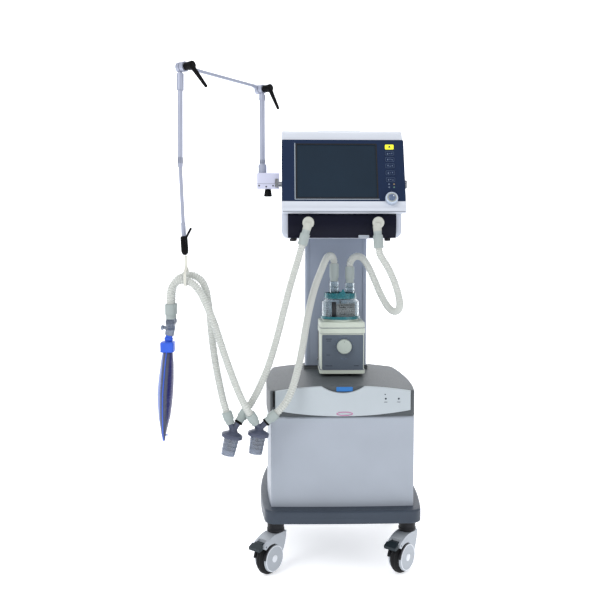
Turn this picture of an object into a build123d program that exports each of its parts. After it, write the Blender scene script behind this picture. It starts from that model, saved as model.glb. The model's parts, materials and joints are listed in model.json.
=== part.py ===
"""Intensive-care ventilator: a display unit and gas module on a column, standing on a four-caster
trolley, with a heated humidifier, a jointed hose-support arm and a two-limb breathing circuit.

Millimetres. +X to the machine's left-hand side as a user faces it (the viewer's right), +Y to the back,
+Z up. The origin is on the floor, below the centre of the trolley.
"""
import os
from math import cos, radians, sin, tan

from build123d import *

os.makedirs("parts", exist_ok=True)

# ---- trolley
BASE_BOTTOM, BASE_TOP = 166.0, 205.0
BASE_FRONT_Y, BASE_BACK_Y = -281.0, 262.0
BASE_FRONT_HALF, BASE_MID_HALF, BASE_BACK_HALF = 226.0, 247.0, 220.0
CABINET_FRONT_Y, CABINET_BACK_Y = -240.0, 215.0
CABINET_HALF, CABINET_MID_HALF, CABINET_BACK_HALF = 211.0, 226.0, 211.0
CABINET_TOP = 474.0
COVER_EDGE_Z, COVER_CROWN_Z = 551.0, 566.0
COLUMN_PAD_Z = 572.0
SHELL = 4.0

# ---- casters
WHEEL_R, WHEEL_W = 50.0, 27.0
CASTER_X, CASTER_FRONT_Y, CASTER_BACK_Y = 198.0, -205.0, 185.0
TRAIL = 30.0
SOCKET_BOTTOM = 122.0
AXLE_R, SWIVEL_R = 4.0, 6.0
RUN_GAP = 0.05  # radial running clearance of every shaft in its bore
PEDAL_PIVOT = (38.0, 46.0)  # along the trail and above the axle

# ---- column, gas module and display
COLUMN_X, COLUMN_W, COLUMN_D, COLUMN_FRONT_Y = 2.0, 204.0, 78.0, 90.0
MODULE_X, MODULE_W = 2.5, 361.0
MODULE_BOTTOM, MODULE_TOP = 998.0, 1073.0
MODULE_FRONT_Y, MODULE_BACK_Y = -150.0, 172.0
CHEEK_W = 18.0
DISPLAY_X, DISPLAY_W, DISPLAY_TOP = 8.0, 372.0, 1331.0
TILT = 19.0
FACE_Y = -165.0
LIP_V, BAND_V, FACE_V = 14.0, 36.5, 238.0  # heights measured up the sloping face
SCREEN_W, SCREEN_H, SCREEN_AT = 246.0, 178.0, (-20.0, 135.0)
KEY_X, ENCODER_V, ALARM_V = 142.0, 43.0, 213.5
SOFT_KEY_V = (192.0, 172.5, 151.5, 128.5, 106.0)
RAIL_Z, RAIL_H, RAIL_T, RAIL_L = 1167.0, 25.0, 10.0, 120.0
RAIL_GAP, LEFT_RAIL_Y, RIGHT_RAIL_Y = 11.0, -30.0, 22.0
PORT_Z = 1043.0
PORT_LEFT, PORT_RIGHT = (-100.0, -184.0, PORT_Z), (107.0, -184.0, PORT_Z)

# ---- humidifier
HUM_X, HUM_W, HUM_D = 11.0, 141.0, 140.0
HUM_BOTTOM, HUM_TOP = 575.0, 738.0
HUM_FRONT_Y = -80.0
CHAMBER_X, CHAMBER_Y, CHAMBER_R = 8.0, -20.0, 59.0

# ---- hose-support arm
POST_X, POST_Y = -238.0, -40.0
BLOCK_BOTTOM, BLOCK_TOP = 1151.0, 1199.0
POST_R, PIN_R, PIVOT_R = 8.0, 8.0, 4.0
ARM_REACH, ARM_RISE = 330.0, 9.0
ARM_DIR, HINGE_DIR, UP = Vector(-0.6, -0.8, 0), Vector(0.8, -0.6, 0), Vector(0, 0, 1)
KNUCKLE_R, KNUCKLE_T, KNUCKLE_STEP = 14.0, 12.0, 14.0
BAR_R = 5.8  # bars beside a knuckle, slimmer than its half thickness
RIGHT_ELBOW = Vector(POST_X, POST_Y, 1458)
ROD_END = RIGHT_ELBOW + ARM_DIR * ARM_REACH - HINGE_DIR * KNUCKLE_STEP + UP * ARM_RISE
LEFT_ELBOW = ROD_END - HINGE_DIR * KNUCKLE_STEP
DROP_SPLIT, TIP_START, TIP_END = Vector(-461, -288, 1194), Vector(-453, -289, 1000), Vector(-450, -290, 949)

# ---- breathing circuit: each hose runs from point to point, with the largest arc at every corner
HOSE_R, CUFF_R = 11.0, 14.5
HOSES = {
    # inspiratory port down to the left water trap
    "hose_1": [(-118, -186, 977), (-131, -188, 931), (-153, -203, 862), (-174, -222, 780),
               (-196, -240, 695), (-219, -255, 622), (-243, -270, 569), (-262, -279, 532),
               (-281, -288, 505)],
    # humidifier outlet over and down to the right water trap
    "hose_2": [(-12, -20, 918), (-12, -20, 927), (-16, -25, 938), (-23, -34, 944), (-31, -44, 944),
               (-38, -53, 937), (-46, -63, 922), (-58, -80, 894), (-73, -103, 860), (-88, -135, 815),
               (-101, -172, 765), (-113, -208, 705), (-124, -238, 650), (-137, -264, 600),
               (-152, -283, 556), (-171, -293, 520), (-195, -297, 499)],
    # humidifier inlet, a hanging loop, up to the expiratory port
    "hose_3": [(38, -20, 908), (38, -20, 920), (44, -25, 934), (55, -34, 942), (67, -44, 942),
               (78, -53, 934), (88, -62, 918), (100, -72, 893), (114, -84, 858), (127, -95, 825),
               (136, -105, 806), (147, -118, 787), (158, -132, 776), (169, -147, 775), (175, -161, 784),
               (176, -171, 800), (172, -178, 820), (164, -183, 847), (153, -187, 876),
               (141, -188, 903), (127, -189, 925), (116, -189, 942), (110, -188, 955),
               (109, -187, 968)],
    # left water trap up over the hanger to the patient connector
    "hose_4": [(-336, -304, 505), (-344, -303, 529), (-355, -298, 579), (-367, -292, 640),
               (-377, -286, 709), (-382, -281, 770), (-388, -277, 821), (-394, -275, 856),
               (-407, -274, 879), (-428, -273, 892), (-451, -273, 893), (-475, -273, 881),
               (-488, -272, 858), (-491, -272, 832), (-491, -272, 812)],
    # right water trap up over the hanger, in front of the other limb
    "hose_5": [(-269, -323, 503), (-280, -330, 523), (-299, -331, 562), (-318, -329, 612),
               (-336, -325, 662), (-353, -320, 714), (-370, -315, 767), (-389, -311, 809),
               (-405, -309, 843), (-422, -307, 866), (-442, -306, 878), (-463, -306, 879),
               (-480, -307, 870), (-489, -308, 852), (-491, -308, 831), (-491, -308, 812)],
}
CUFF_LENGTHS = {"hose_1": (46, 36), "hose_2": (56, 36), "hose_3": (51, 50), "hose_4": (36, 42),
                "hose_5": (36, 42)}
TRAP_JOINTS = {"left": Vector(-317, -305, 452), "right": Vector(-243.5, -305, 457)}
TRAP_TILT = {"left": 13.0, "right": 9.0}
TRAP_LIMBS = {"left": (("hose_1", -1), ("hose_4", 0)), "right": (("hose_2", -1), ("hose_5", 0))}
LIMB_X, LIMB_Y, LIMB_GAP, LIMB_Z = -491.0, -290.0, 18.0, 770.0


def save(piece, name):
    piece.part.label = name
    export_step(piece.part, f"parts/{name}.step")


def barrel(front_y, back_y, front_half, mid_half, back_half, corner):
    """A plan outline whose sides swell out between a narrower front and back."""
    mid_y = 0.45 * front_y + 0.55 * back_y - 40
    with BuildSketch() as plan:
        with BuildLine():
            front = ThreePointArc((-front_half, front_y + 5), (0, front_y), (front_half, front_y + 5))
            right = ThreePointArc(front @ 1, (mid_half, mid_y), (back_half, back_y))
            back = Line(right @ 1, (-back_half, back_y))
            ThreePointArc(back @ 1, (-mid_half, mid_y), front @ 0)
        make_face()
        fillet(plan.vertices(), corner)
    return plan.sketch


def rod(start, end, radius, mode=Mode.ADD, bore=0):
    """A round bar or tube between two points, made in the current part."""
    span = Vector(*end) - Vector(*start)
    with BuildSketch(Plane(origin=start, z_dir=span)) as disc:
        Circle(radius)
        if bore:
            Circle(bore, mode=Mode.SUBTRACT)
    extrude(disc.sketch, amount=span.length, mode=mode)


def hose_end(name, end):
    """A hose's end point, the direction out of that end, and the far face of its cuff."""
    points = [Vector(*p) for p in HOSES[name]]
    tip, inner = (points[0], points[1]) if end == 0 else (points[-1], points[-2])
    out = (tip - inner).normalized()
    return tip, out, tip + out * CUFF_LENGTHS[name][end]


def neck(name, end, joint, radius):
    """A tube from a joint to the far face of a hose's cuff, its last stretch in line with the cuff."""
    tip, out, far = hose_end(name, end)
    knee = far + out * (radius + 0.5)
    rod(far, knee, radius)
    with Locations(knee):
        Sphere(radius + 0.4)
    rod(knee, joint, radius)


# ================================================================ trolley base
outline = barrel(BASE_FRONT_Y, BASE_BACK_Y, BASE_FRONT_HALF, BASE_MID_HALF, BASE_BACK_HALF, 34)
caster_spots = [(sx * CASTER_X, y) for y in (CASTER_FRONT_Y, CASTER_BACK_Y) for sx in (-1, 1)]
with BuildPart() as base:
    with BuildSketch(Plane.XY.offset(BASE_BOTTOM)):
        add(outline)
    extrude(amount=BASE_TOP - BASE_BOTTOM)
    fillet(base.edges().group_by(Axis.Z)[-1], 6)
    fillet(base.edges().group_by(Axis.Z)[0], 3)
    with BuildSketch(Plane.XY.offset(BASE_BOTTOM)):
        add(barrel(BASE_FRONT_Y + 7, BASE_BACK_Y - 7, BASE_FRONT_HALF - 7, BASE_MID_HALF - 7,
                   BASE_BACK_HALF - 7, 27))
    extrude(amount=BASE_TOP - BASE_BOTTOM - 6, mode=Mode.SUBTRACT)
    with BuildSketch(Plane.XY.offset(BASE_BOTTOM)):
        with Locations(*caster_spots):
            Circle(30)
    extrude(amount=BASE_TOP - BASE_BOTTOM - 5)
save(base, "base_chassis")

# ================================================================ cabinet
plan = barrel(CABINET_FRONT_Y + 4, CABINET_BACK_Y, CABINET_HALF, CABINET_MID_HALF, CABINET_BACK_HALF, 8)
with BuildPart() as cabinet:
    with BuildSketch(Plane.XY.offset(BASE_TOP)):
        add(plan)
    extrude(amount=CABINET_TOP - BASE_TOP)
    with BuildSketch(Plane.XY.offset(BASE_TOP + SHELL)):
        add(barrel(CABINET_FRONT_Y + 8, CABINET_BACK_Y - SHELL, CABINET_HALF - SHELL,
                   CABINET_MID_HALF - SHELL, CABINET_HALF - SHELL, 4))
    extrude(amount=CABINET_TOP - BASE_TOP, mode=Mode.SUBTRACT)
    with BuildSketch(Plane.XY.offset(BASE_TOP)):
        with Locations((0, CABINET_FRONT_Y)):
            Rectangle(500, 26)
    extrude(amount=CABINET_TOP - BASE_TOP, mode=Mode.SUBTRACT)
    with BuildSketch(Plane.XZ.offset(-CABINET_BACK_Y - 5)):
        with Locations((0, 250)):
            with GridLocations(0, 12, 1, 6):
                SlotOverall(150, 5)
    extrude(amount=15, mode=Mode.SUBTRACT)
save(cabinet, "cabinet_shell")

with BuildPart() as front_cover:
    with BuildSketch(Plane.XY.offset(BASE_TOP)):
        with BuildLine():
            bow = ThreePointArc((-CABINET_HALF, -235.5), (0, CABINET_FRONT_Y), (CABINET_HALF, -235.5))
            Polyline(bow @ 1, (CABINET_HALF, -228), (-CABINET_HALF, -228), bow @ 0)
        make_face()
    extrude(amount=CABINET_TOP - BASE_TOP)
    chamfer(front_cover.edges().filter_by(Axis.Z).group_by(Axis.Y)[0], 2.5)
    fillet(front_cover.faces().sort_by(Axis.Z)[-1].edges().sort_by(Axis.Y)[0], 6)
save(front_cover, "cabinet_front")

# ================================================================ top cover and its fascia
plan = barrel(-237, CABINET_BACK_Y + 4, CABINET_HALF + 1, CABINET_MID_HALF + 3, CABINET_HALF, 16)
with BuildPart() as cover:
    with BuildSketch(Plane.XY.offset(CABINET_TOP + 0.5)):
        add(plan)
    extrude(amount=COVER_CROWN_Z - CABINET_TOP)
    with BuildSketch(Plane.XZ.offset(300)):
        with BuildLine():
            crown = ThreePointArc((-240, COVER_EDGE_Z - 6), (0, COVER_CROWN_Z), (240, COVER_EDGE_Z - 6))
            Polyline(crown @ 1, (240, CABINET_TOP - 10), (-240, CABINET_TOP - 10), crown @ 0)
        make_face()
    extrude(amount=-600, mode=Mode.INTERSECT)
    fillet(cover.edges().group_by(Axis.Z)[-1] + cover.faces().sort_by(Axis.Z)[-1].edges(), 7)
    with BuildSketch(Plane.XY.offset(CABINET_TOP)):
        add(barrel(-237 + SHELL, CABINET_BACK_Y + 4 - SHELL, CABINET_HALF + 1 - SHELL,
                   CABINET_MID_HALF + 3 - SHELL, CABINET_HALF - SHELL, 12))
    extrude(amount=62, mode=Mode.SUBTRACT)
    with BuildSketch(Plane.XY.offset(COVER_EDGE_Z)):
        with Locations((COLUMN_X, COLUMN_FRONT_Y + COLUMN_D / 2)):
            RectangleRounded(COLUMN_W + 10, COLUMN_D + 10, 8)
    extrude(amount=COLUMN_PAD_Z - COVER_EDGE_Z)
save(cover, "top_cover")

with BuildPart() as fascia:
    with BuildSketch(Plane.XZ.offset(238.2)):
        with BuildLine():
            top = ThreePointArc((-198, 552), (0, 567), (198, 552))
            right = Line(top @ 1, (198, 495))
            smile = ThreePointArc(right @ 1, (0, 477), (-198, 495))
            Line(smile @ 1, top @ 0)
        make_face()
        with BuildLine():
            scoop = ThreePointArc((-72, 572), (0, 546), (72, 572))
            Line(scoop @ 1, scoop @ 0)
        make_face(mode=Mode.SUBTRACT)
    extrude(amount=9)
    chamfer(fascia.faces().sort_by(Axis.Y)[0].edges(), 1.5)
save(fascia, "fascia_panel")

# ================================================================ casters
def caster(spot, heading, name, braked):
    """Fork with its side covers and axle, the wheel, and the brake pedal of a braked caster."""
    x, y = spot
    trail_dir = Vector(cos(radians(heading)), sin(radians(heading)), 0)
    hub = Vector(x, y, WHEEL_R) + trail_dir * TRAIL
    side = Plane(origin=hub, x_dir=trail_dir, z_dir=trail_dir.cross(Vector(0, 0, 1)))
    with BuildPart() as fork:
        with BuildSketch(side.offset(-22)):
            with BuildLine():
                crown = Line((-54, 71), (-6, 71))
                hood = ThreePointArc(crown @ 1, (24, 63), (46, 50))
                nose = Polyline(hood @ 1, (46, 42), (38, 37))
                under = ThreePointArc(nose @ 1, (20, 46), (-20, 30))
                lower = Line(under @ 1, (-37, 12))
                ThreePointArc(lower @ 1, (-50, 45), crown @ 0)
            make_face()
            Circle(40)
            SlotArc(CenterArc((0, 0), 43.5, 8, 92), 5, mode=Mode.SUBTRACT)
        extrude(amount=44)
        covers = fork.faces().filter_by(Axis(hub, side.z_dir)).edges().filter_by(GeomType.CIRCLE)
        chamfer(covers.filter_by(lambda e: abs(e.radius - 40) < 0.1), 1.5)
        with BuildSketch(side.offset(-14.5)):
            Circle(WHEEL_R + 3)
            with BuildLine():
                Polyline((27, 34), (27, 80), (60, 80), (60, 20), (27, 34))
            make_face()
        extrude(amount=29, mode=Mode.SUBTRACT)
        with BuildSketch(side.offset(-22)):
            Circle(AXLE_R)
        extrude(amount=44)
        if braked:
            with BuildSketch(side.offset(-22)):
                with Locations(PEDAL_PIVOT):
                    Circle(2.5 + RUN_GAP)
            extrude(amount=44, mode=Mode.SUBTRACT)
        with BuildSketch(Plane.XY.offset(SOCKET_BOTTOM - 4)):
            with Locations((x, y)):
                Circle(SWIVEL_R)
        extrude(amount=28)
    save(fork, f"fork_{name}")

    with BuildPart() as wheel:
        with BuildSketch(Plane(origin=hub, x_dir=side.z_dir, z_dir=trail_dir)):
            with BuildLine():
                half = WHEEL_W / 2
                bore = Line((-half + 2, AXLE_R + RUN_GAP), (half - 2, AXLE_R + RUN_GAP))
                right = Polyline(bore @ 1, (half - 2, 34), (half, 36), (half, 44))
                tread = ThreePointArc(right @ 1, (0, WHEEL_R), (-half, 44))
                Polyline(tread @ 1, (-half, 36), (-half + 2, 34), bore @ 0)
            make_face()
        revolve(axis=Axis(hub, side.z_dir))
    save(wheel, f"wheel_{name}")

    if braked:
        px, pz = PEDAL_PIVOT
        with BuildPart() as pedal:
            with BuildSketch(side.offset(-13.5)):
                with BuildLine():
                    Polyline((px - 5, pz + 9), (px + 10, pz + 11), (px + 31, pz + 1), (px + 29, pz - 8),
                             (px + 12, pz - 5), (px + 4, pz - 6), (px - 5, pz + 2), (px - 5, pz + 9))
                make_face()
            extrude(amount=27)
            with BuildSketch(side.offset(-20)):
                with BuildLine():
                    Polyline((px + 14, pz + 9.1), (px + 31, pz + 1), (px + 29, pz - 8),
                             (px + 14, pz - 5.3), (px + 14, pz + 9.1))
                make_face()
            extrude(amount=40)
            with BuildSketch(side.offset(-21)):
                with Locations(PEDAL_PIVOT):
                    Circle(2.5)
            extrude(amount=42)
        save(pedal, f"brake_pedal_{name}")


FRONT_HEADING, BACK_HEADING = 230.0, 75.0
caster_names = ("front_left", "front_right", "back_left", "back_right")
for spot, name in zip(caster_spots, caster_names):
    in_front = name.startswith("front")
    caster(spot, FRONT_HEADING if in_front else BACK_HEADING, name, in_front)

with BuildPart() as sockets:
    with BuildSketch(Plane.XY.offset(SOCKET_BOTTOM)):
        with Locations(*caster_spots):
            Circle(25)
    extrude(amount=BASE_BOTTOM - SOCKET_BOTTOM)
    with BuildSketch(Plane.XY.offset(SOCKET_BOTTOM)):
        with Locations(*caster_spots):
            Circle(SWIVEL_R + RUN_GAP)
    extrude(amount=30, mode=Mode.SUBTRACT)
save(sockets, "caster_sockets")

# ================================================================ column
with BuildPart() as column:
    with BuildSketch(Plane.XY.offset(COLUMN_PAD_Z)):
        with Locations((COLUMN_X, COLUMN_FRONT_Y + COLUMN_D / 2)):
            RectangleRounded(COLUMN_W, COLUMN_D, 6)
            RectangleRounded(COLUMN_W - 8, COLUMN_D - 8, 4, mode=Mode.SUBTRACT)
        with Locations((COLUMN_X, COLUMN_FRONT_Y)):
            with GridLocations(176, 0, 2, 1):
                Rectangle(3, 4, mode=Mode.SUBTRACT)
        with Locations((COLUMN_X, COLUMN_FRONT_Y + COLUMN_D / 2)):
            with GridLocations(COLUMN_W, 40, 2, 2):
                Rectangle(4, 3, mode=Mode.SUBTRACT)
    extrude(amount=MODULE_BOTTOM - COLUMN_PAD_Z)
save(column, "column")

# ================================================================ gas module
with BuildPart() as module_shell:
    with BuildSketch(Plane.YZ.offset(MODULE_X - MODULE_W / 2)):
        with BuildLine():
            Polyline((MODULE_FRONT_Y, MODULE_TOP), (MODULE_BACK_Y, MODULE_TOP),
                     (MODULE_BACK_Y, MODULE_BOTTOM), (MODULE_FRONT_Y, MODULE_BOTTOM),
                     (MODULE_FRONT_Y, MODULE_TOP))
        make_face()
    extrude(amount=MODULE_W)
    fillet(module_shell.edges().filter_by(Axis.Y).group_by(Axis.Z)[0], 22)
    fillet(module_shell.faces().sort_by(Axis.Y)[0].edges().group_by(Axis.Z)[0], 10)
    with BuildSketch(Plane.YZ.offset(MODULE_X - MODULE_W / 2 + CHEEK_W)):
        with Locations((MODULE_FRONT_Y + 5, (MODULE_BOTTOM + MODULE_TOP) / 2)):
            Rectangle(30, 100)
        with BuildLine():
            Polyline((MODULE_FRONT_Y + 15, MODULE_TOP - 4), (MODULE_BACK_Y - 4, MODULE_TOP - 4),
                     (MODULE_BACK_Y - 4, MODULE_BOTTOM + 4), (MODULE_FRONT_Y + 15, MODULE_BOTTOM + 4),
                     (MODULE_FRONT_Y + 15, MODULE_TOP - 4))
        make_face()
    extrude(amount=MODULE_W - 2 * CHEEK_W, mode=Mode.SUBTRACT)
save(module_shell, "module_shell")

with BuildPart() as module_front:
    front_left = MODULE_X - MODULE_W / 2 + CHEEK_W + 0.5
    with BuildSketch(Plane.YZ.offset(front_left)):
        with BuildLine():
            back = Line((-131, MODULE_BOTTOM + 0.5), (-131, MODULE_TOP - 0.5))
            top = Line(back @ 1, (-150, MODULE_TOP - 0.5))
            roll = ThreePointArc(top @ 1, (-158, 1032), (-145, MODULE_BOTTOM + 0.5))
            Line(roll @ 1, back @ 0)
        make_face()
    extrude(amount=MODULE_W - 2 * CHEEK_W - 1)
    for x, y, z in (PORT_LEFT, PORT_RIGHT):
        with BuildSketch(Plane.XZ.offset(165)):
            with Locations((x, z)):
                Circle(13)
        extrude(amount=-40, mode=Mode.SUBTRACT)
save(module_front, "module_front")

# Elbows that leave the gas module and turn down to the hose cuffs.
with BuildPart() as ports:
    for centre, (hose, end) in ((PORT_LEFT, ("hose_1", 0)), (PORT_RIGHT, ("hose_3", -1))):
        x, y, z = centre
        with BuildSketch(Plane.XZ.offset(-y)):
            with Locations((x, z)):
                Circle(12.9)
        extrude(amount=y + 134)
        with BuildSketch(Plane.XZ.offset(-y - 6)):
            with Locations((x, z)):
                Circle(16.5)
        extrude(amount=14)
        fillet(ports.edges(Select.LAST).group_by(Axis.Y)[0], 2.5)
        neck(hose, end, centre, 12.5)
save(ports, "machine_ports")

# ================================================================ display unit
face = Plane(origin=(DISPLAY_X, FACE_Y, MODULE_TOP), x_dir=(1, 0, 0),
             z_dir=(0, -cos(radians(TILT)), sin(radians(TILT))))
side_left = DISPLAY_X - DISPLAY_W / 2
face_top = face.from_local_coords(Vector(0, FACE_V, -10))


def face_slab(piece_back, piece_front, low, high, corner):
    """A plate on the sloping face between two depths and two heights up the face."""
    with BuildSketch(face.offset(piece_back)) as panel:
        with Locations((0, (low + high) / 2)):
            RectangleRounded(DISPLAY_W, high - low, corner)
    extrude(panel.sketch, amount=piece_front - piece_back)


def housing_side(inset):
    """The display housing seen from the side, drawn in by an inset."""
    low, high = MODULE_TOP + inset, DISPLAY_TOP - inset
    with BuildSketch() as view:
        with BuildLine():
            Polyline((FACE_Y + 11.5 + 2 * inset, low), (face_top.Y + inset, face_top.Z),
                     (-52, high), (62 - inset, high), (84 - inset, 1165), (84 - inset, low),
                     close=True)
        make_face()
        fillet(view.vertices().group_by(Axis.Y)[-1], 26)
        fillet(view.vertices().sort_by_distance((84 - inset, 1165))[0], 60)
    return view.sketch


with BuildPart() as housing:
    with BuildSketch(Plane.YZ.offset(side_left)):
        add(housing_side(0))
    extrude(amount=DISPLAY_W)
    rims = housing.faces().filter_by(Axis.X).edges()
    fillet(rims.filter_by(lambda e: e.center().Y > face_top.Y + 5 and e.center().Z > MODULE_TOP + 5), 5)
    with BuildSketch(Plane.YZ.offset(side_left + 3)):
        add(housing_side(3.5))
    extrude(amount=DISPLAY_W - 6, mode=Mode.SUBTRACT)
    with BuildSketch(face.offset(-25)):
        with Locations((0, FACE_V / 2 + 2)):
            Rectangle(DISPLAY_W - 12, FACE_V - 18)
    extrude(amount=30, mode=Mode.SUBTRACT)
    with BuildSketch(Plane.XZ.offset(-70)):
        with Locations((DISPLAY_X, 1150)):
            with GridLocations(9, 0, 17, 1):
                SlotOverall(60, 4, rotation=90)
    extrude(amount=-30, mode=Mode.SUBTRACT)
save(housing, "display_housing")

with BuildPart() as frame:
    face_slab(-9.5, 0, LIP_V - 3, BAND_V, 2)
    face_slab(-9.5, 5, 0.5, LIP_V, 4)
save(frame, "display_frame")

with BuildPart() as bezel:
    face_slab(-9.5, -0.5, BAND_V + 0.3, FACE_V, 4)
    with BuildSketch(face.offset(-0.5)):
        with Locations(SCREEN_AT):
            Rectangle(SCREEN_W, SCREEN_H)
        with Locations((KEY_X, ALARM_V)):
            RectangleRounded(27, 16, 3)
    extrude(amount=-9, mode=Mode.SUBTRACT)
    with BuildSketch(face.offset(-0.5)):
        with Locations(*[(KEY_X, v) for v in SOFT_KEY_V]):
            RectangleRounded(28, 15, 3)
    extrude(amount=-1.2, mode=Mode.SUBTRACT)
    with BuildSketch(face.offset(-0.5)):
        with Locations((KEY_X, ENCODER_V)):
            Circle(3 + RUN_GAP)
    extrude(amount=-9, mode=Mode.SUBTRACT)
save(bezel, "display_bezel")

with BuildPart() as screen:
    with BuildSketch(face.offset(-7)):
        with Locations(SCREEN_AT):
            Rectangle(SCREEN_W - 0.4, SCREEN_H - 0.4)
    extrude(amount=4.5)
save(screen, "display_screen")

with BuildPart() as alarm_key:
    with BuildSketch(face.offset(-6)):
        with Locations((KEY_X, ALARM_V)):
            RectangleRounded(26.2, 15.2, 2.6)
    extrude(amount=8.5)
    fillet(alarm_key.faces().sort_by(Axis(face.origin, face.z_dir))[-1].edges(), 1)
save(alarm_key, "alarm_key")

with BuildPart() as soft_keys:
    with BuildSketch(face.offset(-1.7)):
        with Locations(*[(KEY_X, v) for v in SOFT_KEY_V]):
            RectangleRounded(27.2, 14.2, 2.6)
    extrude(amount=2.2)
save(soft_keys, "soft_keys")

with BuildPart() as encoder:
    with BuildSketch(face.offset(0.6)):
        with Locations((KEY_X, ENCODER_V)):
            Circle(18.5)
    extrude(amount=15)
    fillet(encoder.edges().sort_by(Axis(face.origin, face.z_dir))[-1], 4)
    with BuildSketch(face.offset(-9)):
        with Locations((KEY_X, ENCODER_V)):
            Circle(3)
    extrude(amount=12)
save(encoder, "encoder_knob")

# Accessory rails on both sides of the display unit.
with BuildPart() as rails:
    for sign, middle in ((-1, LEFT_RAIL_Y), (1, RIGHT_RAIL_Y)):
        wall = DISPLAY_X + sign * DISPLAY_W / 2
        with BuildSketch(Plane.XY.offset(RAIL_Z - RAIL_H / 2)):
            with Locations((wall + sign * (RAIL_GAP + RAIL_T / 2), middle)):
                Rectangle(RAIL_T, RAIL_L)
        extrude(amount=RAIL_H)
        for y in (middle - 48, middle + 48):
            rod((wall, y, RAIL_Z), (wall + sign * (RAIL_GAP + 2), y, RAIL_Z), 4.5)
    chamfer(rails.edges().filter_by(Axis.Y), 1)
save(rails, "side_rails")

# ================================================================ heated humidifier
HUM_PLAN_Y = HUM_FRONT_Y + HUM_D / 2
DIAL_AT = (16.0, 661.0)
with BuildPart() as humidifier:
    for low, high, grow, edge in ((575, 587, 0.5, 2), (587, 702, -2, 0), (702, 719, 1, 6), (719, 738, 0, 7)):
        with BuildSketch(Plane.XY.offset(low)):
            with Locations((HUM_X, HUM_PLAN_Y)):
                RectangleRounded(HUM_W + 2 * grow, HUM_D + 2 * grow, 12)
        extrude(amount=high - low)
        if edge:
            fillet(humidifier.edges(Select.LAST).group_by(Axis.Z)[-1], edge - 1.5)
    with BuildSketch(Plane.XY.offset(HUM_TOP)):
        with Locations((CHAMBER_X, CHAMBER_Y)):
            Circle(57)
    extrude(amount=6)
    with BuildSketch(Plane.XY.offset(HUM_BOTTOM)):
        with Locations((HUM_X, HUM_PLAN_Y)):
            RectangleRounded(HUM_W - 16, HUM_D - 16, 6)
    extrude(amount=110, mode=Mode.SUBTRACT)
    with BuildSketch(Plane.XZ.offset(-HUM_FRONT_Y)):
        with Locations(DIAL_AT):
            Circle(3 + RUN_GAP)
    extrude(amount=-16, mode=Mode.SUBTRACT)
save(humidifier, "humidifier_base")

with BuildPart() as hum_panel:
    with BuildSketch(Plane.XZ.offset(-HUM_FRONT_Y - 2)):
        with Locations((HUM_X + 0.5, 642.6)):
            RectangleRounded(129, 109, 3)
        with Locations(DIAL_AT):
            Circle(3 + RUN_GAP, mode=Mode.SUBTRACT)
    extrude(amount=2)
save(hum_panel, "humidifier_panel")

with BuildPart() as dial:
    with BuildSketch(Plane.XZ.offset(-HUM_FRONT_Y + 0.6)):
        with Locations(DIAL_AT):
            Circle(22.5)
    extrude(amount=13)
    fillet(dial.edges().sort_by(Axis.Y)[0], 3)
    with BuildSketch(Plane.XZ.offset(-HUM_FRONT_Y - 14)):
        with Locations(DIAL_AT):
            Circle(3)
    extrude(amount=15)
save(dial, "humidifier_dial")

with BuildPart() as bracket:
    with BuildSketch(Plane.XY.offset(598)):
        with Locations((COLUMN_X, 66)):
            Rectangle(90, 8)
        with Locations((COLUMN_X, 86)):
            Rectangle(120, 8)
        with Locations((COLUMN_X, 76)):
            Rectangle(50, 20)
    extrude(amount=100)
save(bracket, "humidifier_bracket")

chamber_axis = Axis((CHAMBER_X, CHAMBER_Y, 0), (0, 0, 1))
chamber_section = Plane(origin=(CHAMBER_X, CHAMBER_Y, 0), x_dir=(1, 0, 0), z_dir=(0, -1, 0))
port_tops = {x: hose_end(hose, 0)[2].Z for x, hose in ((-12.0, "hose_2"), (38.0, "hose_3"))}
with BuildPart() as chamber:
    with BuildSketch(chamber_section):
        with BuildLine():
            Polyline((CHAMBER_R, 747.2), (CHAMBER_R, 799), (50, 808), (0, 808), (0, 805.5), (49, 805.5),
                     (CHAMBER_R - 2.5, 798), (CHAMBER_R - 2.5, 747.2), close=True)
        make_face()
    revolve(axis=chamber_axis)
    for x, top in port_tops.items():
        rod((x, CHAMBER_Y, 805.5), (x, CHAMBER_Y, top), 15)
        rod((x, CHAMBER_Y, 800), (x, CHAMBER_Y, top + 1), 11.5, mode=Mode.SUBTRACT)
save(chamber, "chamber_body")

with BuildPart() as collars:
    with BuildSketch(chamber_section):
        with BuildLine():
            Polyline((0, 744.2), (62.5, 744.2), (63, 745), (62, 753), (CHAMBER_R + 0.2, 753),
                     (CHAMBER_R + 0.2, 747), (0, 747), close=True)
        make_face()
        with BuildLine():
            Polyline((46.2, 808.2), (50, 808.2), (51, 812), (50, 826), (46.2, 826), close=True)
        make_face()
    revolve(axis=chamber_axis)
    with BuildSketch(Plane.XZ.offset(-CHAMBER_Y + 46.5)):
        with BuildLine():
            Polyline((3, 825), (22, 825), (13, 841), close=True)
        make_face()
    extrude(amount=3)
save(collars, "chamber_collars")

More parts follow.
